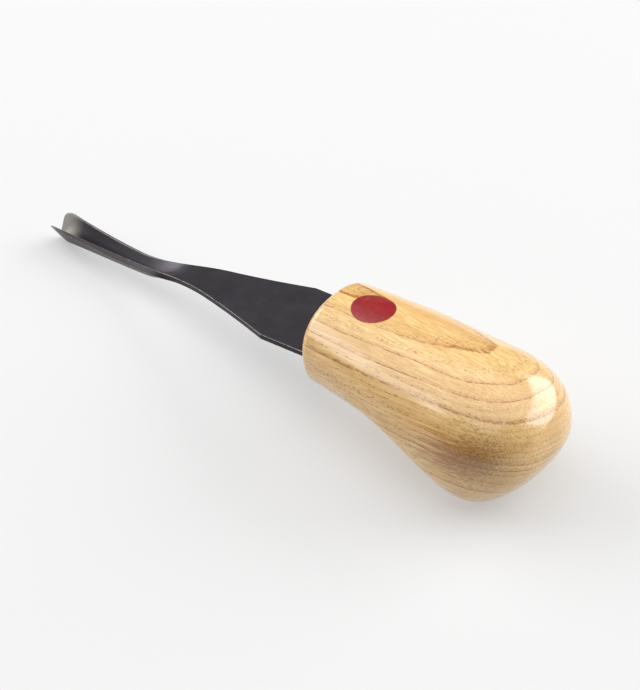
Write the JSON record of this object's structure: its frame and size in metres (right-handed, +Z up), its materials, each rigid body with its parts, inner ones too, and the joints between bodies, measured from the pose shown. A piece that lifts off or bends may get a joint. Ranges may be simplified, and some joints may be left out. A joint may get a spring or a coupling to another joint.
{
  "type": "wood carving parting tool",
  "caption": "Palm-handled parting tool: a bulb-shaped ash handle and a flat dark steel blade whose end is folded into a narrow V with a ground cutting edge.",
  "frame": {"origin": "centre of the part's box at bench height: the tool lies on its belly and keel on Z = 0", "axes": "+X from the cutting edge towards the butt of the handle, +Y across the tool, +Z up"},
  "size_m": [0.1366, 0.0348, 0.0288],
  "materials": {
    "handle_wood": "ash under clear gloss lacquer",
    "blade_steel": "hardened spring steel with a dark satin tempering skin, ground bright at the edge",
    "adhesive": "cured amber epoxy"
  },
  "bodies": {
    "root": {"handle": "handle_wood", "blade": "blade_steel", "tang_adhesive": "adhesive"}
  },
  "joints": []
}
